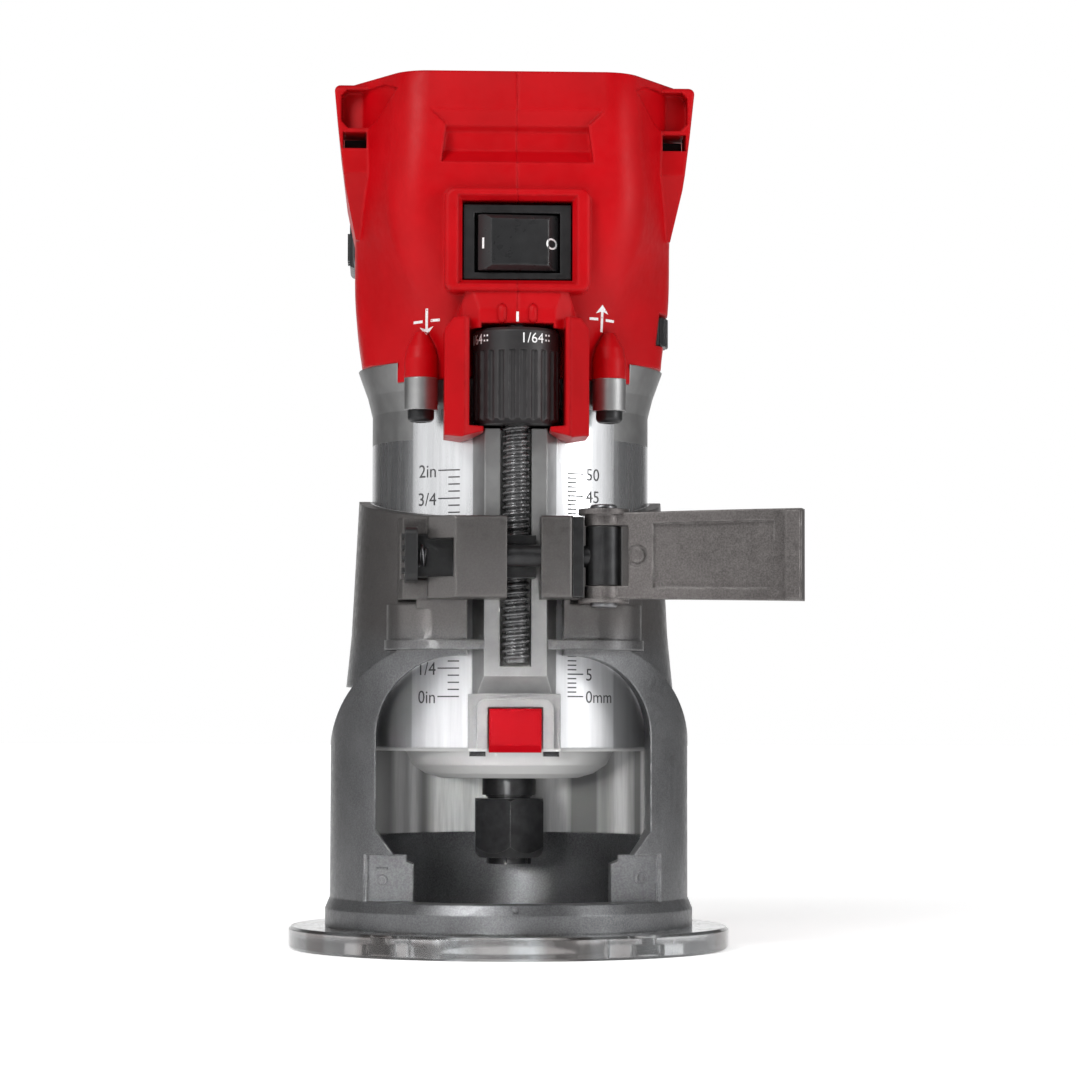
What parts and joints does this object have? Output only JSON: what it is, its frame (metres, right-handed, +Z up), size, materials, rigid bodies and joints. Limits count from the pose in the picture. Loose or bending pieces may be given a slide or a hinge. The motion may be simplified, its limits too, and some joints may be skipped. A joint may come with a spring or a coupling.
{
  "type": "trim router",
  "caption": "Cordless trim router: motor unit with switch head and slide-on battery in a clamped fixed base, with depth screw, cam lever, spindle lock and clear sub-base.",
  "frame": {"origin": "spindle axis at the underside of the sub-base", "axes": "+Z up along the spindle axis, -Y to the front with the switch, +X to the side that the clamp lever points to"},
  "size_m": [0.1128, 0.1751, 0.199],
  "materials": {
    "cast_grey": "metallic grey powder coat on cast metal",
    "clear_plate": "clear polycarbonate",
    "machined_aluminium": "brushed and machined",
    "red_shell": "fine moulded texture",
    "black_plastic": "moulded",
    "knob_plastic": "moulded, fluted",
    "black_oxide": "black oxide",
    "bright_steel": "ground",
    "bronze": "sintered",
    "copper": "enamelled copper wire",
    "lamination": "stacked laminations",
    "fan_nylon": "glass-filled nylon",
    "circuit_board": "solder mask",
    "battery_plastic": "moulded, fine grain",
    "cell_sleeve": "heat-shrink sleeve"
  },
  "bodies": {
    "base": {"base_casting": "cast_grey", "sub_base": "clear_plate", "sub_base_screws": "black_oxide", "clamp_bolt": "black_oxide", "thrust_washer": "black_oxide", "macro_spring": "bright_steel"},
    "lever": {"clamp_lever": "cast_grey", "lever_pin": "bright_steel"},
    "release": {"macro_button": "black_plastic", "half_nut": "black_oxide"},
    "motor": {"motor_barrel": "machined_aluminium", "barrel_screws": "black_oxide", "led_lenses": "clear_plate", "housing_left": "red_shell", "housing_right": "red_shell", "housing_screws": "black_oxide", "switch_frame": "black_plastic", "dial_pot": "black_plastic", "screw_bushing": "bronze", "lock_spring": "bright_steel", "stator_core": "lamination", "stator_windings": "copper", "lower_bearing": "bright_steel", "upper_bearing": "bright_steel", "bearing_bracket": "machined_aluminium", "control_board": "circuit_board", "heat_sink": "machined_aluminium", "terminal_block": "black_plastic"},
    "knob": {"adjust_knob": "knob_plastic", "lead_screw": "black_oxide", "screw_clip": "bright_steel"},
    "lock": {"lock_button": "red_shell", "lock_pin": "bright_steel"},
    "rocker": {"rocker": "black_plastic"},
    "dial": {"speed_dial": "black_plastic"},
    "rotor": {"spindle": "black_oxide", "rotor_core": "bright_steel", "rotor_magnets": "lamination", "cooling_fan": "fan_nylon", "collet": "bright_steel"},
    "collet_nut": {"collet_nut": "black_oxide"},
    "battery": {"battery_case_lower": "battery_plastic", "battery_case_upper": "battery_plastic", "battery_cells": "cell_sleeve", "battery_terminals": "bronze", "battery_board": "circuit_board"},
    "latch_left": {"latch_left": "black_plastic"},
    "latch_right": {"latch_right": "black_plastic"}
  },
  "joints": [
    {"name": "depth_slide", "type": "slide", "parent": "base", "child": "motor", "axis": [0, 0, 1], "range_m": [-0.015, 0.016]},
    {"name": "knob_turn", "type": "hinge", "parent": "motor", "child": "knob", "pos_m": [0, -0.0382, 0.13], "axis": [0, 0, 1], "continuous": true},
    {"name": "lever_swing", "type": "hinge", "parent": "base", "child": "lever", "pos_m": [0.0189, -0.0486, 0.0882], "axis": [0, 0, 1], "range_deg": [0, 70]},
    {"name": "release_press", "type": "slide", "parent": "base", "child": "release", "axis": [1, 0, 0], "range_m": [0, 0.0018], "stiffness_N_per_m": 800, "springref_m": -0.003, "deforming": ["macro_spring"]},
    {"name": "spindle_turn", "type": "hinge", "parent": "motor", "child": "rotor", "pos_m": [0, 0, 0.05], "axis": [0, 0, 1], "continuous": true},
    {"name": "collet_nut_turn", "type": "hinge", "parent": "rotor", "child": "collet_nut", "pos_m": [0, 0, 0.028], "axis": [0, 0, 1], "range_deg": [0, 360]},
    {"name": "lock_press", "type": "slide", "parent": "motor", "child": "lock", "axis": [0, 1, 0], "range_m": [0, 0.0026], "stiffness_N_per_m": 600, "springref_m": -0.003, "deforming": ["lock_spring"]},
    {"name": "rocker_tilt", "type": "hinge", "parent": "motor", "child": "rocker", "pos_m": [0, -0.0398, 0.1578], "axis": [0, 0, 1], "range_deg": [-12, 0]},
    {"name": "dial_turn", "type": "hinge", "parent": "motor", "child": "dial", "pos_m": [0.0246, -0.006, 0.143], "axis": [0, 0, 1], "range_deg": [-135, 135]},
    {"name": "battery_slide", "type": "slide", "parent": "motor", "child": "battery", "axis": [0, 1, 0], "range_m": [0, 0.07]},
    {"name": "latch_left_press", "type": "slide", "parent": "battery", "child": "latch_left", "axis": [1, 0, 0], "range_m": [0, 0.0013], "stiffness_N_per_m": 500, "springref_m": -0.002},
    {"name": "latch_right_press", "type": "slide", "parent": "battery", "child": "latch_right", "axis": [-1, 0, 0], "range_m": [0, 0.0013], "stiffness_N_per_m": 500, "springref_m": -0.002}
  ],
  "couplings": [
    {"joint": "knob_turn", "follows": "depth_slide", "rad_per_m": 3957.9}
  ]
}
